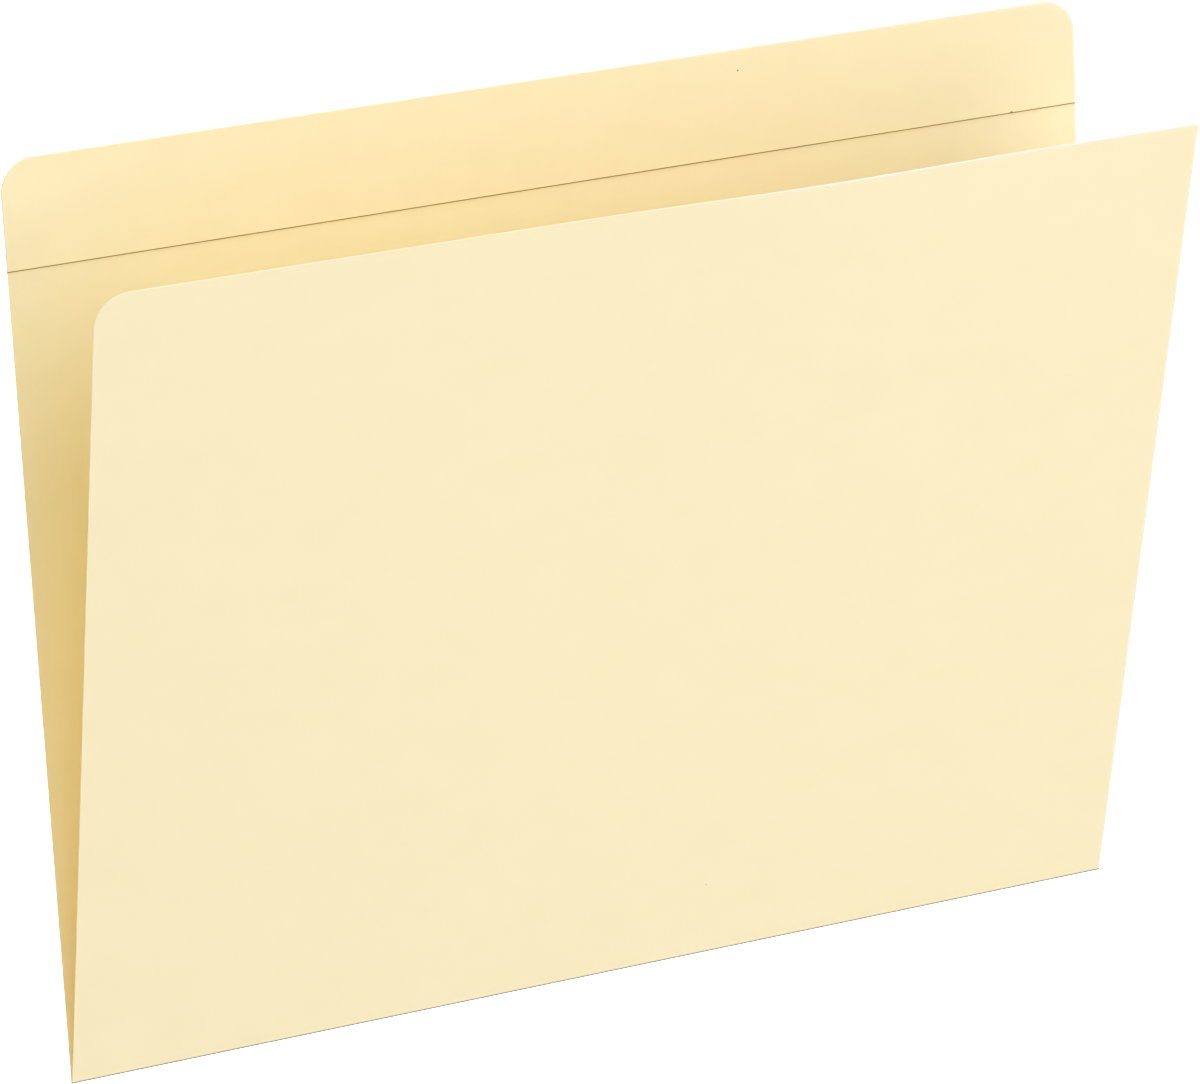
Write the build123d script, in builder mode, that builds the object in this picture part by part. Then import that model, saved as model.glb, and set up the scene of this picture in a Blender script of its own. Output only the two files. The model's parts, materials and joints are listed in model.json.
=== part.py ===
from build123d import *
import os

# A letter-size manila file folder, upright on its bottom fold with the front leaf ajar.
# One die-cut sheet is creased twice. The bottom fold joins the two leaves. The tab fold turns a
# second ply of the tab down over the inside of the back leaf, where a glue film holds it.
# The origin is the lowest line of the bottom fold, half way along it. +X runs along the fold,
# +Z up the back leaf, and the front leaf opens towards -Y, about the bottom fold's own axis.

# Driving dimensions, in millimetres and degrees
folder_width = 295.3  # along both folds, 11 5/8 in
back_height = 241.3  # from the bottom fold to the top of the tab, 9 1/2 in
front_height = 230.7  # from the bottom fold to the front leaf's cut edge
tab_depth = 27.9  # from the top of the tab to the second ply's cut edge
corner_radius = 8.8  # at the tab's two corners and the front leaf's left one
stock = 0.28  # thickness of the manila sheet, 11 point
opening_angle = 16.0  # between the leaves at rest
glue_film = 0.06  # thickness of the dried glue under the second ply
glue_margin = 3.0  # unglued border round the film
closed_clearance = 0.06  # between the second ply and the front leaf of a shut folder
fold_clearance = 0.05  # between the bottom fold and the end of the leaf that turns round it

# The bottom fold leaves just enough room inside it for the second ply
fold_inner_radius = (stock + glue_film + closed_clearance) / 2
fold_outer_radius = fold_inner_radius + stock
fold_axis_height = fold_outer_radius

# The tab fold rolls the sheet round the glue film's thickness, from one rounded corner to the other
roll_inner_radius = glue_film / 2
roll_outer_radius = roll_inner_radius + stock
roll_axis_height = back_height - roll_outer_radius
roll_axis_depth = fold_outer_radius - roll_outer_radius
roll_length = folder_width - 2 * corner_radius

# Planes on the leaves' inner faces: local y runs up the leaf, and the normals point to the front
back_inside = Plane.XZ.offset(-fold_inner_radius)
fold_axis_plane = Plane(origin=(0, 0, fold_axis_height), x_dir=(1, 0, 0), z_dir=(0, -1, 0))
front_inside = fold_axis_plane.rotated((opening_angle, 0, 0)).offset(fold_inner_radius)

centred_above = (Align.CENTER, Align.MIN)
os.makedirs("parts", exist_ok=True)


def tab_outline(foot):
    """The die-cut outline from a height up to the tab's rounded corners, less the tab fold's seat."""
    with BuildSketch() as outline:
        with Locations((0, foot)):
            Rectangle(folder_width, back_height - foot, align=centred_above)
        fillet(outline.vertices().group_by(Axis.Y)[-1], radius=corner_radius)
        with Locations((0, roll_axis_height)):
            Rectangle(roll_length, roll_outer_radius, align=centred_above, mode=Mode.SUBTRACT)
    return outline.sketch


def bend_section(axis_point, inner_radius, start_angle, sweep):
    """A bend of the sheet round one axis, seen along that axis."""
    with BuildSketch() as section:
        with BuildLine():
            outside = CenterArc(axis_point, inner_radius + stock, start_angle, sweep)
            inside = CenterArc(axis_point, inner_radius, start_angle, sweep)
            Line(outside @ 0, inside @ 0)
            Line(outside @ 1, inside @ 1)
        make_face()
    return section.sketch


# Back leaf: stands on the bottom fold and carries the tab fold
with BuildPart() as back_leaf:
    with BuildSketch(back_inside):
        add(tab_outline(fold_axis_height))
    extrude(amount=-stock)

# Second ply of the tab: the same stock, in front of the back leaf and the glue
with BuildPart() as tab_ply:
    with BuildSketch(back_inside.offset(glue_film)):
        add(tab_outline(back_height - tab_depth))
    extrude(amount=stock)

# Glue film: between the back leaf and the second ply, short of every edge
with BuildPart() as tab_glue:
    with BuildSketch(back_inside) as glue_outline:
        glue_foot = back_height - tab_depth + glue_margin
        with Locations((0, glue_foot)):
            glue_height = roll_axis_height - glue_margin - glue_foot
            Rectangle(folder_width - 2 * glue_margin, glue_height, align=centred_above)
        fillet(glue_outline.vertices().group_by(Axis.Y)[-1], radius=corner_radius)
    extrude(amount=glue_film)

# Tab fold: the roll along the tab's top, over the back leaf and the second ply
with BuildPart() as tab_fold:
    with BuildSketch(Plane.YZ):
        add(bend_section((roll_axis_depth, roll_axis_height), roll_inner_radius, 0, 180))
    extrude(amount=roll_length / 2, both=True)

# Bottom fold: from the foot of the back leaf round under the hinge axis to the front leaf
with BuildPart() as bottom_fold:
    with BuildSketch(Plane.YZ):
        add(bend_section((0, fold_axis_height), fold_inner_radius, 0, opening_angle - 180))
    extrude(amount=folder_width / 2, both=True)

# Front leaf: rounded at its top left, square at its right, hollowed at its foot round the fold
with BuildPart() as front_leaf:
    with BuildSketch(front_inside) as front_outline:
        Rectangle(folder_width, front_height - fold_axis_height, align=centred_above)
        top_left = front_outline.vertices().group_by(Axis.Y)[-1].sort_by(Axis.X)[0]
        fillet(top_left, radius=corner_radius)
    extrude(amount=stock)
    with BuildSketch(Plane.YZ):
        with Locations((0, fold_axis_height)):
            Circle(fold_outer_radius + fold_clearance)
    extrude(amount=folder_width / 2, both=True, mode=Mode.SUBTRACT)

pieces = {
    "back_leaf": back_leaf,
    "tab_ply": tab_ply,
    "tab_glue": tab_glue,
    "tab_fold": tab_fold,
    "bottom_fold": bottom_fold,
    "front_leaf": front_leaf,
}
for name, piece in pieces.items():
    piece.part.label = name
    export_step(piece.part, f"parts/{name}.step")
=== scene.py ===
import json
import math

import bmesh
import bpy
import numpy as np
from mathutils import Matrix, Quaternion, Vector


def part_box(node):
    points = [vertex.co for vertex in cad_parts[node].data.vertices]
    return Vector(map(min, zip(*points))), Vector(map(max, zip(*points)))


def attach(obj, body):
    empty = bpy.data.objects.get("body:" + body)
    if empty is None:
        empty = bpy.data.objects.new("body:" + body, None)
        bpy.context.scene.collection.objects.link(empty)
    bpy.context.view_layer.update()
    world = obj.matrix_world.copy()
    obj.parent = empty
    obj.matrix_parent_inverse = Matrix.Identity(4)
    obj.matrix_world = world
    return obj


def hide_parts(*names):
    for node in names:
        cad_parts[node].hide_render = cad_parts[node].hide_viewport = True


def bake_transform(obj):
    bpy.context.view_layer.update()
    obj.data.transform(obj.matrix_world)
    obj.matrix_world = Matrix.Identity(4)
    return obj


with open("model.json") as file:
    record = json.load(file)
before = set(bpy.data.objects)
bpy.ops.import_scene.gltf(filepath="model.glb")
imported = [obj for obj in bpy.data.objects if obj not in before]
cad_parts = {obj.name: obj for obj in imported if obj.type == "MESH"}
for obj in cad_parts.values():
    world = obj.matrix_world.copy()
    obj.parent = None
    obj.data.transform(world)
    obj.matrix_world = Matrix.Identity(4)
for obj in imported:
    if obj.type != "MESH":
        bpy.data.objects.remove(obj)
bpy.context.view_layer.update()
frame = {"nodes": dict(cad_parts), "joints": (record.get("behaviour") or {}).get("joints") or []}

# A manila file folder, ajar, with its tab turned over and glued. Everything is in metres.
# "Up the sheet" is the distance from the bottom fold, and "depth" runs from a panel's inner face out.

# Sizes read from the frame
crease = frame["joints"][0]
crease_axis = Vector(crease["pos_m"])
lean = math.radians(-crease["range_deg"][0])  # the front leaf shuts by turning back through it
back_low, back_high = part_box("back_leaf")
ply_low, ply_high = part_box("tab_ply")
roll_low, roll_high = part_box("tab_fold")
front_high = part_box("front_leaf")[1]
half_width = back_high.x
stock = back_high.y - back_low.y
fold_inner_radius = back_low.y - crease_axis.y
roll_outer_radius = (roll_high.y - roll_low.y) / 2
roll_inner_radius = roll_outer_radius - stock
roll_axis = Vector((0, (roll_high.y + roll_low.y) / 2, roll_low.z))
corner_radius = half_width - roll_high.x
tab_top = back_high.z
front_top = (front_high.z - crease_axis.z + fold_inner_radius * math.sin(lean)) / math.cos(lean)

# Mesh of the panels and folds
cell = 0.004  # spacing of the panels' mesh lines
corner_steps = 10
fold_steps = 24
fold_columns = 75
edge_round = 0.00006  # corners of a cut edge, rounded by the die
front_foot = 0.00002  # keeps the leaves' two feet apart when the folder lies open
crisp_angle = math.radians(30)  # sharper edges aren't shaded smooth
weld_gap = 1e-7

# Pale cut edges, partly worn fibre and partly painted highlight, palest to the right of the folder's middle
pale_rim = 0.0009  # width of the pale border, worn and painted as highlight
paler_edges_start = -0.01  # along the fold, where the paler stretch begins
paler_edges_run = 0.06  # and how far on it is as pale as it gets
least_pale = 0.15

# Painted shade in the crevice under the second ply, by height from its cut edge, and painted shade under the
# fold, by height from the fold
ply_shade_line = ((-0.001, 0.0), (-0.00036, 0.1), (-0.00026, 1.0), (0.0, 1.0), (0.0002, 0.0))
fold_shade_line = ((front_foot, 0.7), (0.00025, 0.0))
fold_shade_spread = 2.5  # larger for painted shade that reaches further round the fold

# The front leaf isn't quite flat: its right end stands further out and its rim bows
twist = math.radians(0.57)  # extra lean at the right end
bow = 0.0012  # outwards, at the rim
bow_middle = 0.041  # along the fold, to the right of the folder's middle
bow_reach = 0.040

# Both leaves are faintly cockled; waves are in radians per metre, along the fold and up the sheet
cockle = 0.00012  # depth of the waves
crossed_waves = (41, 33)
slanting_waves = (17, -23)
cockle_rise = 0.06  # height over which the waves grow from nothing at the fold
back_phase = 0.4
front_phase = 1.9
glued_margin = 0.01  # the back leaf is flat behind the second ply and this far under it
calm_run = 0.05  # height over which the waves die away towards it

# Photograph's viewpoint
camera_spot = Vector((-0.63843, -1.49736, 0.62585))
camera_aim = Vector((0.01068, 0.01091, 0.11384))
camera_roll = math.radians(-3.01)
camera_lens = 199.04
camera_sensor = 36.0

# Floor, and the lamps' colours
floor_height = -0.26  # leaves room for the front leaf to hang open
floor_reach = 6.0
floor_fade = (0.36, 0.56)  # how far out the shadowed floor starts and ends its fade to white
daylight = (1.01, 0.975, 1.05)
lamplight = (1.01, 0.995, 0.93)
amber = (1.03, 0.97, 0.47)

# Card and glue colours
white = (1, 1, 1, 1)
manila_deep = (0.958, 0.864, 0.545, 1)
manila_pale = (0.970, 0.884, 0.569, 1)
# pale cut fibre, also used as painted highlight along the cut edges
raw_fibre = (0.975, 0.93, 0.78, 1)
bark = (0.45, 0.34, 0.17, 1)
dark_bark = (0.13, 0.10, 0.03, 1)
# painted shade in the crevice under the second ply's cut edge
ply_shade_colour = (0.31, 0.22, 0.015, 1)
# painted shade along the bottom fold's underside
painted_fold_shade = (0.16, 0.15, 0.13, 1)
glue_deep = (0.78, 0.71, 0.55, 1)
glue_pale = (0.84, 0.79, 0.67, 1)
bark_spots = (  # the two larger flecks on the tab, each with its radius
    (Vector((0.0509, ply_low.y, 0.2357)), 0.00026),
    (Vector((0.1286, ply_low.y, ply_low.z)), 0.00042),
)


def link(obj):
    bpy.context.scene.collection.objects.link(obj)
    return obj


# Materials

def add_node(tree, kind, **settings):
    """A node of a material with its options and its unlinked sockets set."""
    node = tree.nodes.new(kind)
    for name, value in settings.items():
        if hasattr(node, name):
            setattr(node, name, value)
        else:
            node.inputs[name].default_value = value
    return node


def new_material(name):
    """A material whose tree holds only a Principled shader and the output."""
    material = bpy.data.materials.new(name)
    material.use_nodes = True
    tree = material.node_tree
    shader = tree.nodes["Principled BSDF"]
    return material, tree, shader


def stretched_noise(tree, places, stretch, scale, detail):
    """Noise on the piece's own coordinates, drawn out along the fold."""
    mapping = add_node(tree, "ShaderNodeMapping", Scale=stretch)
    tree.links.new(places, mapping.inputs["Vector"])
    noise = add_node(tree, "ShaderNodeTexNoise", Scale=scale, Detail=detail)
    tree.links.new(mapping.outputs["Vector"], noise.inputs["Vector"])
    return noise.outputs["Fac"]


def mix_colour(tree, share, first, second):
    """Colour first with a share of colour second; each is a socket or a plain colour."""
    mix = add_node(tree, "ShaderNodeMix", data_type="RGBA")
    for socket, value in (("Factor", share), ("A", first), ("B", second)):
        target = [s for s in mix.inputs if s.name == socket and s.enabled][0]
        if isinstance(value, bpy.types.NodeSocket):
            tree.links.new(value, target)
        else:
            target.default_value = value
    return [s for s in mix.outputs if s.enabled][0]


def ramp(tree, value, low, high, bottom=0.0, top=1.0):
    """A socket's value drawn from low..high onto bottom..top, held at both ends."""
    node = add_node(tree, "ShaderNodeMapRange", interpolation_type="SMOOTHSTEP")
    for socket, number in (("From Min", low), ("From Max", high), ("To Min", bottom), ("To Max", top)):
        node.inputs[socket].default_value = number
    tree.links.new(value, node.inputs["Value"])
    return node.outputs["Result"]


def fleck_share(tree, places):
    """1 on a small fleck of bark, which only a few cells of the pattern have."""
    cells = add_node(tree, "ShaderNodeTexVoronoi", Scale=70.0)
    tree.links.new(places, cells.inputs["Vector"])
    chance = add_node(tree, "ShaderNodeSeparateColor")
    tree.links.new(cells.outputs["Color"], chance.inputs["Color"])
    near = ramp(tree, cells.outputs["Distance"], low=0.006, high=0.014, bottom=1.0, top=0.0)
    rare = ramp(tree, chance.outputs["Red"], low=0.96, high=0.97)
    fleck = add_node(tree, "ShaderNodeMath", operation="MULTIPLY")
    tree.links.new(near, fleck.inputs[0])
    tree.links.new(rare, fleck.inputs[1])
    return fleck.outputs["Value"]


def spot_share(tree, places, spot, radius):
    """1 at one place on the card, falling to 0 at the radius."""
    gap = add_node(tree, "ShaderNodeVectorMath", operation="DISTANCE")
    tree.links.new(places, gap.inputs[0])
    gap.inputs[1].default_value = spot
    return ramp(tree, gap.outputs["Value"], low=radius / 2, high=radius, bottom=1.0, top=0.0)


def manila_stock():
    """Manila card: cloudy formation, fibres drawn out along the fold, flecks, pale cut edges partly painted
    as highlight, and painted shade under the second ply and along the fold.
    """
    material, tree, shader = new_material("manila_stock")
    places = add_node(tree, "ShaderNodeTexCoord").outputs["Object"]
    clouds = stretched_noise(tree, places, stretch=(1, 1, 1.6), scale=55, detail=3)
    fibres = stretched_noise(tree, places, stretch=(0.06, 1, 1), scale=900, detail=4)
    colour = mix_colour(tree, ramp(tree, clouds, low=0.2, high=0.8), manila_deep, manila_pale)
    colour = mix_colour(tree, ramp(tree, fibres, low=0.45, high=0.75, top=0.3), colour, manila_pale)
    colour = mix_colour(tree, fleck_share(tree, places), colour, bark)
    # Pale cut edges (worn fibre and painted highlight), then painted shade under the second ply and along
    # the fold's underside
    for mark, tint in (("edge_wear", raw_fibre), ("painted_ply_shade", ply_shade_colour), ("painted_fold_shade", painted_fold_shade)):
        share = add_node(tree, "ShaderNodeAttribute", attribute_name=mark)
        colour = mix_colour(tree, share.outputs["Fac"], colour, tint)
    for spot, radius in bark_spots:
        colour = mix_colour(tree, spot_share(tree, places, spot, radius), colour, dark_bark)
    tree.links.new(colour, shader.inputs["Base Color"])

    grain = stretched_noise(tree, places, stretch=(0.25, 1, 1), scale=2200, detail=3)
    bump = add_node(tree, "ShaderNodeBump", Strength=0.12, Distance=0.00003)
    tree.links.new(grain, bump.inputs["Height"])
    tree.links.new(bump.outputs["Normal"], shader.inputs["Normal"])
    roughness = ramp(tree, grain, low=0.3, high=0.7, bottom=0.78, top=0.9)
    tree.links.new(roughness, shader.inputs["Roughness"])
    shader.inputs["Specular IOR Level"].default_value = 0.25
    return material


def dried_glue():
    """Dried glue: a yellowed film, streaked where the roller laid it."""
    material, tree, shader = new_material("dried_glue")
    places = add_node(tree, "ShaderNodeTexCoord").outputs["Object"]
    streaks = stretched_noise(tree, places, stretch=(0.05, 1, 1), scale=400, detail=3)
    colour = mix_colour(tree, ramp(tree, streaks, low=0.3, high=0.7), glue_deep, glue_pale)
    tree.links.new(colour, shader.inputs["Base Color"])
    shader.inputs["Roughness"].default_value = 0.45
    return material


card = manila_stock()
glue = dried_glue()


# Flat runs of the sheet

def panel_lines(foot, top, butt_top):
    """Heights of a panel's mesh lines: even up to the rounded corners, then stepped round them."""
    shoulder = top - corner_radius
    even = np.linspace(foot, shoulder, round((shoulder - foot) / cell) + 1)
    highest = math.asin((butt_top - shoulder) / corner_radius)
    turns = np.linspace(0, highest, corner_steps + 1)[1:]
    return np.concatenate([even, shoulder + corner_radius * np.sin(turns)])


def reach(heights, top, rounded, inset):
    """How far a panel reaches sideways at each height, short of its outline by inset."""
    if not rounded:
        return np.full(len(heights), half_width - inset)
    above = np.clip(heights - (top - corner_radius), 0, corner_radius - inset)
    return half_width - corner_radius + np.sqrt((corner_radius - inset) ** 2 - above ** 2)


def edge_pale_share(x, height, top, right_round):
    """1 at a cut side or top edge, falling to 0 across the pale rim of wear and painted highlight."""
    gap = np.minimum(half_width - np.abs(x), top - height)
    across = np.abs(x) - (half_width - corner_radius)
    above = height - (top - corner_radius)
    corner = (across > 0) & (above > 0) & ((x < 0) | right_round)
    gap = np.where(corner, corner_radius - np.hypot(across, above), gap)
    return np.clip(1 - gap / pale_rim, 0, 1)


def edge_paleness(x):
    """How pale a cut edge is painted, for wear and highlight: most to the right of the folder's middle."""
    share = np.clip((x - paler_edges_start) / paler_edges_run, 0, 1)
    return least_pale + (1 - least_pale) * share * share * (3 - 2 * share)


def card_panel(name, foot, top, place, right_round=True, cut_foot=False, butt_top=None, painted_shade=None):
    """One run of the card between two folds, closed all round, with die-rounded cut edges.

    place turns (x, up the sheet, depth) into a point. Where the run goes on into a fold, its foot or
    its top is a plain butt end at the height given. The last argument names an attribute of painted
    shade, the depth of the face that it darkens, and a list of heights with how much shade is painted there."""
    mark, marked_depth, profile = painted_shade or (None, 0.0, ())
    full = panel_lines(foot, top, butt_top or top)
    full = np.unique(np.concatenate([full, [height for height, share in profile]]))
    inset = full.copy()
    if cut_foot:
        inset[0] += edge_round
    if butt_top is None:
        inset[-1] -= edge_round
    columns = round(2 * half_width / cell)
    shares = np.linspace(0, 1, columns + 1)
    rim_share = pale_rim / (2 * half_width)
    shares = np.concatenate([[0, rim_share], shares[1:-1], [1 - rim_share, 1]])

    def lines(heights, margin):
        left = -reach(heights, top, True, margin)
        right = reach(heights, top, right_round, margin)
        x = left[:, None] + (right - left)[:, None] * shares[None, :]
        return x, np.repeat(heights[:, None], len(shares), 1)

    # Points: the outer face, the inner face, then the outline's two rings between their rounded edges
    face_x, face_up = lines(inset, edge_round)
    rim_x, rim_up = lines(full, 0.0)
    rows, across = face_x.shape
    ring = (
        [(0, j) for j in range(across)]
        + [(i, across - 1) for i in range(1, rows)]
        + [(rows - 1, j) for j in range(across - 2, -1, -1)]
        + [(i, 0) for i in range(rows - 2, 0, -1)]
    )
    ring_i = np.array([i for i, j in ring])
    ring_j = np.array([j for i, j in ring])
    x = np.concatenate([face_x.ravel(), face_x.ravel(), rim_x[ring_i, ring_j], rim_x[ring_i, ring_j]])
    up = np.concatenate([face_up.ravel(), face_up.ravel(), rim_up[ring_i, ring_j], rim_up[ring_i, ring_j]])
    count = rows * across
    depth = np.concatenate([
        np.full(count, stock),
        np.zeros(count),
        np.full(len(ring), stock - edge_round),
        np.full(len(ring), edge_round),
    ])
    points = place(x, up, depth)

    # Faces: both sides, then the three bands round the edge
    outer = np.arange(count).reshape(rows, across)
    inner = outer + count
    outer_rim = 2 * count + np.arange(len(ring))
    inner_rim = outer_rim + len(ring)
    faces = []
    for face in (outer, inner[:, ::-1]):
        for i in range(rows - 1):
            for j in range(across - 1):
                faces.append((face[i, j], face[i, j + 1], face[i + 1, j + 1], face[i + 1, j]))
    loops = (outer[ring_i, ring_j], outer_rim, inner_rim, inner[ring_i, ring_j])
    for one, other in zip(loops, loops[1:]):
        for k in range(len(ring)):
            after = (k + 1) % len(ring)
            faces.append((one[after], one[k], other[k], other[after]))

    mesh = bpy.data.meshes.new(name)
    mesh.from_pydata(points.tolist(), [], [tuple(int(k) for k in face) for face in faces])
    edge_attribute = mesh.attributes.new("edge_wear", "FLOAT", "POINT")
    # Cut edges painted pale: partly worn fibre, partly painted highlight
    pale_edges = edge_pale_share(x, up, top, right_round) * edge_paleness(x)
    edge_attribute.data.foreach_set("value", pale_edges.astype(np.float32))
    if mark:
        amount = mesh.attributes.new(mark, "FLOAT", "POINT")
        share = np.interp(up, *zip(*profile)) * (np.abs(depth - marked_depth) < stock / 2)
        amount.data.foreach_set("value", share.astype(np.float32))
    return finish_mesh(name, mesh)


def finish_mesh(name, mesh):
    """Turns the faces outwards, shades the mesh and makes it a piece of card."""
    work = bmesh.new()
    work.from_mesh(mesh)
    bmesh.ops.recalc_face_normals(work, faces=work.faces)
    work.to_mesh(mesh)
    work.free()
    mesh.shade_smooth()
    mesh.set_sharp_from_angle(angle=crisp_angle)
    mesh.materials.clear()
    mesh.materials.append(card)
    return link(bpy.data.objects.new(name, mesh))


def waves(x, up, phase):
    """Faint cockling of the card, from 0 to 1, and none at the fold."""
    crossed = np.sin(crossed_waves[0] * x + phase) * np.sin(crossed_waves[1] * up + 1.3 * phase)
    slanting = np.sin(slanting_waves[0] * x + slanting_waves[1] * up + 2.1 * phase)
    return (0.5 + 0.25 * crossed + 0.25 * slanting) * np.clip(up / cockle_rise, 0, 1)


def place_back(x, up, depth):
    """Stands the back leaf up, cockled outwards only, and flat where the second ply is glued."""
    calm = np.clip((ply_low.z - glued_margin - up) / calm_run, 0, 1)
    out = depth + cockle * waves(x, up, back_phase) * calm
    return np.stack([x, back_low.y + out, up], 1)


def place_ply(x, up, depth):
    """Lays the tab's second ply over the inside of the back leaf, facing the front."""
    return np.stack([x, ply_high.y - depth, up], 1)


def place_front(x, up, depth):
    """Leans the front leaf out from the crease, twisted and bowed as it is at rest."""
    share = (x + half_width) / (2 * half_width)
    height = np.clip(up / front_top, 0, 1)
    out = depth + fold_inner_radius + up * math.tan(twist) * share
    out += bow * height ** 3 * np.exp(-((x - bow_middle) / bow_reach) ** 2)
    out += cockle * waves(x, up, front_phase)
    y = crease_axis.y - up * math.sin(lean) - out * math.cos(lean)
    z = crease_axis.z + up * math.cos(lean) - out * math.sin(lean)
    return np.stack([x, y, z], 1)


# The back leaf is painted dark just under the second ply's cut edge, as the crevice's shade
ply_shade_heights = [(ply_low.z + above, share) for above, share in ply_shade_line]
back_panel = card_panel(
    "back_panel", back_low.z, tab_top, place_back, butt_top=roll_axis.z, painted_shade=("painted_ply_shade", 0.0, ply_shade_heights))
tab_panel = card_panel("tab_panel", ply_low.z, tab_top, place_ply, cut_foot=True, butt_top=roll_axis.z)
# The front leaf's outer face is painted darker just above the fold, as shade running on from the fold's
# underside
front_panel = card_panel(
    "front_panel", front_foot, front_top, place_front, right_round=False,
    painted_shade=("painted_fold_shade", stock, fold_shade_line))


# Folds

class FieldMaths:
    """Adds maths nodes to a Geometry Nodes tree; values are sockets or plain numbers."""

    def __init__(self, tree):
        self.tree = tree

    def feed(self, value, socket):
        if isinstance(value, bpy.types.NodeSocket):
            self.tree.links.new(value, socket)
        else:
            socket.default_value = value

    def do(self, operation, *values):
        node = self.tree.nodes.new("ShaderNodeMath")
        node.operation = operation
        for value, socket in zip(values, node.inputs):
            self.feed(value, socket)
        return node.outputs["Value"]

    def vector(self, x, y, z):
        node = self.tree.nodes.new("ShaderNodeCombineXYZ")
        for value, socket in zip((x, y, z), node.inputs):
            self.feed(value, socket)
        return node.outputs["Vector"]


def fold_tree():
    """A bend of the card swept along its fold, with ends that follow the die's corner arcs.

    A sheet of mesh is laid on the bend's inner face, then given the card's thickness outwards. What
    faces down is painted darker, as shade."""
    tree = bpy.data.node_groups.new("card_fold", "GeometryNodeTree")
    maths = FieldMaths(tree)
    sizes = ("Inner Radius", "Stock", "Start", "Sweep", "Axis Depth", "Axis Height",
             "Straight Half", "Corner Radius", "Corner Height")
    for size in sizes:
        tree.interface.new_socket(name=size, in_out="INPUT", socket_type="NodeSocketFloat")
    for count in ("Columns", "Steps"):
        tree.interface.new_socket(name=count, in_out="INPUT", socket_type="NodeSocketInt")
    tree.interface.new_socket(name="Card", in_out="INPUT", socket_type="NodeSocketMaterial")
    tree.interface.new_socket(name="Geometry", in_out="OUTPUT", socket_type="NodeSocketGeometry")
    given = tree.nodes.new("NodeGroupInput").outputs

    # A flat grid, whose x runs from -1 to 1 along the fold and whose y runs round the bend
    grid = tree.nodes.new("GeometryNodeMeshGrid")
    grid.inputs["Size X"].default_value = 2
    grid.inputs["Size Y"].default_value = 1
    tree.links.new(given["Columns"], grid.inputs["Vertices X"])
    tree.links.new(given["Steps"], grid.inputs["Vertices Y"])
    here = tree.nodes.new("ShaderNodeSeparateXYZ")
    tree.links.new(tree.nodes.new("GeometryNodeInputPosition").outputs["Position"], here.inputs["Vector"])
    side = here.outputs["X"]
    turn = maths.do("MULTIPLY_ADD", maths.do("ADD", here.outputs["Y"], 0.5), given["Sweep"], given["Start"])

    def surface(radius):
        """Points on the bend at one radius, as far along as the corner arcs let it go."""
        deep = maths.do("MULTIPLY_ADD", maths.do("COSINE", turn), radius, given["Axis Depth"])
        high = maths.do("MULTIPLY_ADD", maths.do("SINE", turn), radius, given["Axis Height"])
        above = maths.do("SUBTRACT", high, given["Corner Height"])
        left_over = maths.do(
            "SUBTRACT",
            maths.do("POWER", given["Corner Radius"], 2.0),
            maths.do("POWER", above, 2.0),
        )
        arc = maths.do("SQRT", maths.do("MAXIMUM", left_over, 0.0))
        along = maths.do("MULTIPLY", side, maths.do("ADD", given["Straight Half"], arc))
        return maths.vector(along, deep, high)

    inside = surface(given["Inner Radius"])
    outside = surface(maths.do("ADD", given["Inner Radius"], given["Stock"]))
    thickness = tree.nodes.new("ShaderNodeVectorMath")
    thickness.operation = "SUBTRACT"
    tree.links.new(outside, thickness.inputs[0])
    tree.links.new(inside, thickness.inputs[1])

    # The thickness and the painted shade are read on the flat grid, before the sheet is moved on to the bend
    store = tree.nodes.new("GeometryNodeCaptureAttribute")
    store.capture_items.new("VECTOR", "Thickness")
    tree.links.new(grid.outputs["Mesh"], store.inputs["Geometry"])
    tree.links.new(thickness.outputs["Vector"], store.inputs["Thickness"])
    painted_shade = tree.nodes.new("GeometryNodeStoreNamedAttribute")
    painted_shade.inputs["Name"].default_value = "painted_fold_shade"
    tree.links.new(store.outputs["Geometry"], painted_shade.inputs["Geometry"])
    downwards = maths.do("MULTIPLY", maths.do("SINE", turn), -fold_shade_spread)
    share = maths.do("MINIMUM", maths.do("MAXIMUM", downwards, 0.0), 1.0)
    tree.links.new(share, painted_shade.inputs["Value"])

    # The sheet is bent, thickened, closed and given its material
    bend = tree.nodes.new("GeometryNodeSetPosition")
    tree.links.new(painted_shade.outputs["Geometry"], bend.inputs["Geometry"])
    tree.links.new(inside, bend.inputs["Position"])
    swell = tree.nodes.new("GeometryNodeExtrudeMesh")
    swell.mode = "FACES"
    swell.inputs["Individual"].default_value = False
    tree.links.new(bend.outputs["Geometry"], swell.inputs["Mesh"])
    tree.links.new(store.outputs["Thickness"], swell.inputs["Offset"])
    both = tree.nodes.new("GeometryNodeJoinGeometry")
    tree.links.new(bend.outputs["Geometry"], both.inputs["Geometry"])
    tree.links.new(swell.outputs["Mesh"], both.inputs["Geometry"])
    weld = tree.nodes.new("GeometryNodeMergeByDistance")
    weld.inputs["Distance"].default_value = weld_gap
    tree.links.new(both.outputs["Geometry"], weld.inputs["Geometry"])
    solid = tree.nodes.new("GeometryNodeRealizeInstances")
    tree.links.new(weld.outputs["Geometry"], solid.inputs["Geometry"])
    paint = tree.nodes.new("GeometryNodeSetMaterial")
    tree.links.new(solid.outputs["Geometry"], paint.inputs["Geometry"])
    tree.links.new(given["Card"], paint.inputs["Material"])
    out = tree.nodes.new("NodeGroupOutput")
    tree.links.new(paint.outputs["Geometry"], out.inputs["Geometry"])
    return tree


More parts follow.
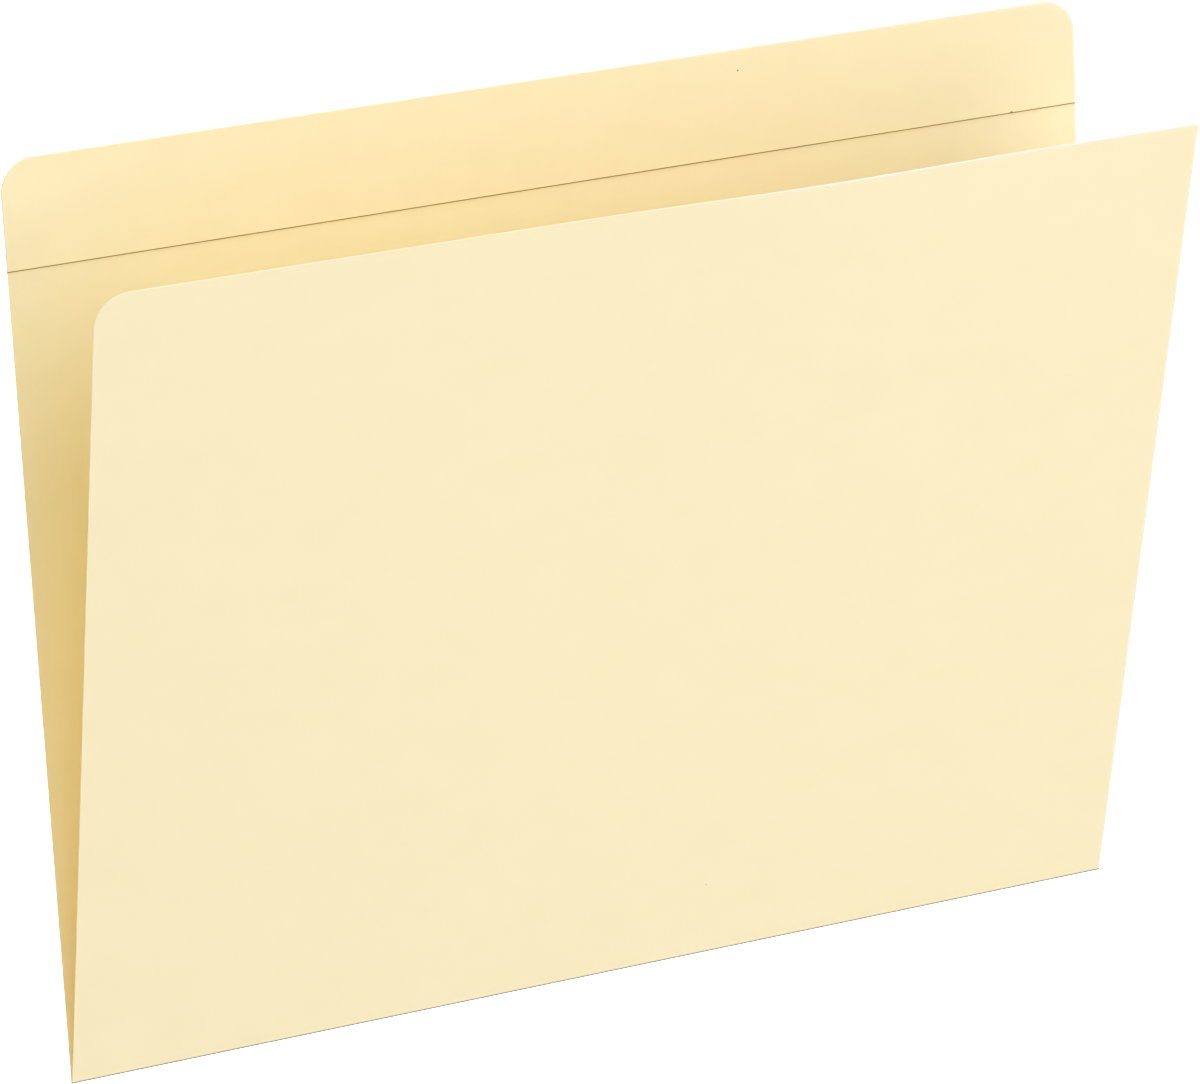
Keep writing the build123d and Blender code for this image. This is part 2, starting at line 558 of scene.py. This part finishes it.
def card_fold(name, tree, **sizes):
    """A plain mesh made by the fold tree with these sizes."""
    host = link(bpy.data.objects.new(name + "_host", bpy.data.meshes.new(name + "_host")))
    modifier = host.modifiers.new("fold", "NODES")
    modifier.node_group = tree
    for socket in tree.interface.items_tree:
        key = socket.name.lower().replace(" ", "_")
        if key in sizes:
            modifier[socket.identifier] = sizes[key]
    bpy.context.view_layer.update()
    ready = host.evaluated_get(bpy.context.evaluated_depsgraph_get())
    mesh = bpy.data.meshes.new_from_object(ready)
    bpy.data.objects.remove(host)
    return finish_mesh(name, mesh)


folds = fold_tree()
tab_roll = card_fold(
    "tab_roll", folds, inner_radius=roll_inner_radius, stock=stock, start=0.0, sweep=math.pi,
    axis_depth=roll_axis.y, axis_height=roll_axis.z, straight_half=half_width - corner_radius,
    corner_radius=corner_radius, corner_height=tab_top - corner_radius,
    columns=fold_columns, steps=fold_steps, card=card)
bottom_crease = card_fold(
    "bottom_crease", folds, inner_radius=fold_inner_radius, stock=stock, start=0.0, sweep=lean - math.pi,
    axis_depth=crease_axis.y, axis_height=crease_axis.z, straight_half=half_width,
    corner_radius=0.0, corner_height=crease_axis.z,
    columns=fold_columns, steps=fold_steps, card=card)

# What each piece stands for, and what it moves with
for piece, node in ((back_panel, "back_leaf"), (tab_panel, "tab_ply"), (tab_roll, "tab_fold")):
    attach(piece, "back")
    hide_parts(node)
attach(front_panel, "front")
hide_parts("front_leaf")
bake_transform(bottom_crease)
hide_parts("bottom_fold")
glue_film = frame["nodes"]["tab_glue"]
glue_film.data.materials.clear()
glue_film.data.materials.append(glue)


# Studio

def seen_as_white(tree):
    """1 for the rays that show the backdrop itself, and 0 for those that light the folder."""
    path = tree.nodes.new("ShaderNodeLightPath")
    seen = path.outputs["Is Camera Ray"]
    for other in ("Is Glossy Ray", "Is Transmission Ray"):
        either = tree.nodes.new("ShaderNodeMath")
        either.operation = "MAXIMUM"
        tree.links.new(seen, either.inputs[0])
        tree.links.new(path.outputs[other], either.inputs[1])
        seen = either.outputs["Value"]
    return seen


def white_world():
    """A white surround that is seen, but leaves the lighting to the softboxes."""
    world = bpy.data.worlds.new("studio")
    bpy.context.scene.world = world
    world.use_nodes = True
    tree = world.node_tree
    tree.nodes.clear()
    shown = tree.nodes.new("ShaderNodeBackground")
    shown.inputs["Color"].default_value = white
    tree.links.new(seen_as_white(tree), shown.inputs["Strength"])
    out = tree.nodes.new("ShaderNodeOutputWorld")
    tree.links.new(shown.outputs["Background"], out.inputs["Surface"])


def pale_floor():
    """A white floor well under the folder, which keeps its shadow and fades into the white surround."""
    ways = ((-1, -1), (1, -1), (1, 1), (-1, 1))
    mesh = bpy.data.meshes.new("floor")
    mesh.from_pydata([(x * floor_reach, y * floor_reach, floor_height) for x, y in ways], [], [(0, 1, 2, 3)])
    material, tree, shader = new_material("floor")
    shader.inputs["Base Color"].default_value = (0.85, 0.85, 0.84, 1)
    shader.inputs["Roughness"].default_value = 0.9
    shader.inputs["Emission Color"].default_value = white
    away = add_node(tree, "ShaderNodeVectorMath", operation="LENGTH")
    tree.links.new(add_node(tree, "ShaderNodeTexCoord").outputs["Object"], away.inputs[0])
    lift = add_node(tree, "ShaderNodeMath", operation="MULTIPLY")
    tree.links.new(seen_as_white(tree), lift.inputs[0])
    tree.links.new(ramp(tree, away.outputs["Value"], *floor_fade), lift.inputs[1])
    tree.links.new(lift.outputs["Value"], shader.inputs["Emission Strength"])
    mesh.materials.append(material)
    link(bpy.data.objects.new("floor", mesh))


def softbox(name, azimuth, elevation, power, colour, distance=2.7, side=1.2):
    """A square softbox aimed at the folder's middle. Azimuth 0 is straight in front, 90 to the right."""
    light = bpy.data.lights.new(name, "AREA")
    light.shape = "SQUARE"
    light.size = side
    light.energy = power
    light.color = colour
    turn = math.radians(azimuth)
    rise = math.radians(elevation)
    away = Vector((math.sin(turn) * math.cos(rise), -math.cos(turn) * math.cos(rise), math.sin(rise)))
    box = link(bpy.data.objects.new(name, light))
    box.location = Vector((0, 0, tab_top / 2)) + away * distance
    box.rotation_euler = (-away).to_track_quat("-Z", "Y").to_euler()
    box.visible_camera = False


def photo_camera():
    """The camera, where the photograph was taken from."""
    lens = bpy.data.cameras.new("camera")
    lens.lens = camera_lens
    lens.sensor_width = camera_sensor
    lens.sensor_fit = "HORIZONTAL"
    camera = link(bpy.data.objects.new("camera", lens))
    camera.location = camera_spot
    aim = (camera_aim - camera_spot).to_track_quat("-Z", "Y")
    camera.rotation_euler = (aim @ Quaternion((0, 0, 1), camera_roll)).to_euler()
    bpy.context.scene.camera = camera


white_world()
pale_floor()
softbox("front", azimuth=0, elevation=30, power=26.6, colour=daylight, side=1.8)
softbox("key", azimuth=35, elevation=30, power=17, colour=daylight, side=1.8)
softbox("low", azimuth=20, elevation=0, power=16.8, colour=daylight)
softbox("top", azimuth=0, elevation=85, power=22, colour=lamplight, distance=1.8)
softbox("side", azimuth=-115, elevation=12, power=23, colour=amber)
softbox("rear", azimuth=193, elevation=8, power=37, colour=daylight)
photo_camera()
bpy.context.scene.view_settings.view_transform = "Standard"
bpy.context.scene.cycles.max_bounces = 24
bpy.context.scene.cycles.diffuse_bounces = 20  # light crosses many times between the two leaves
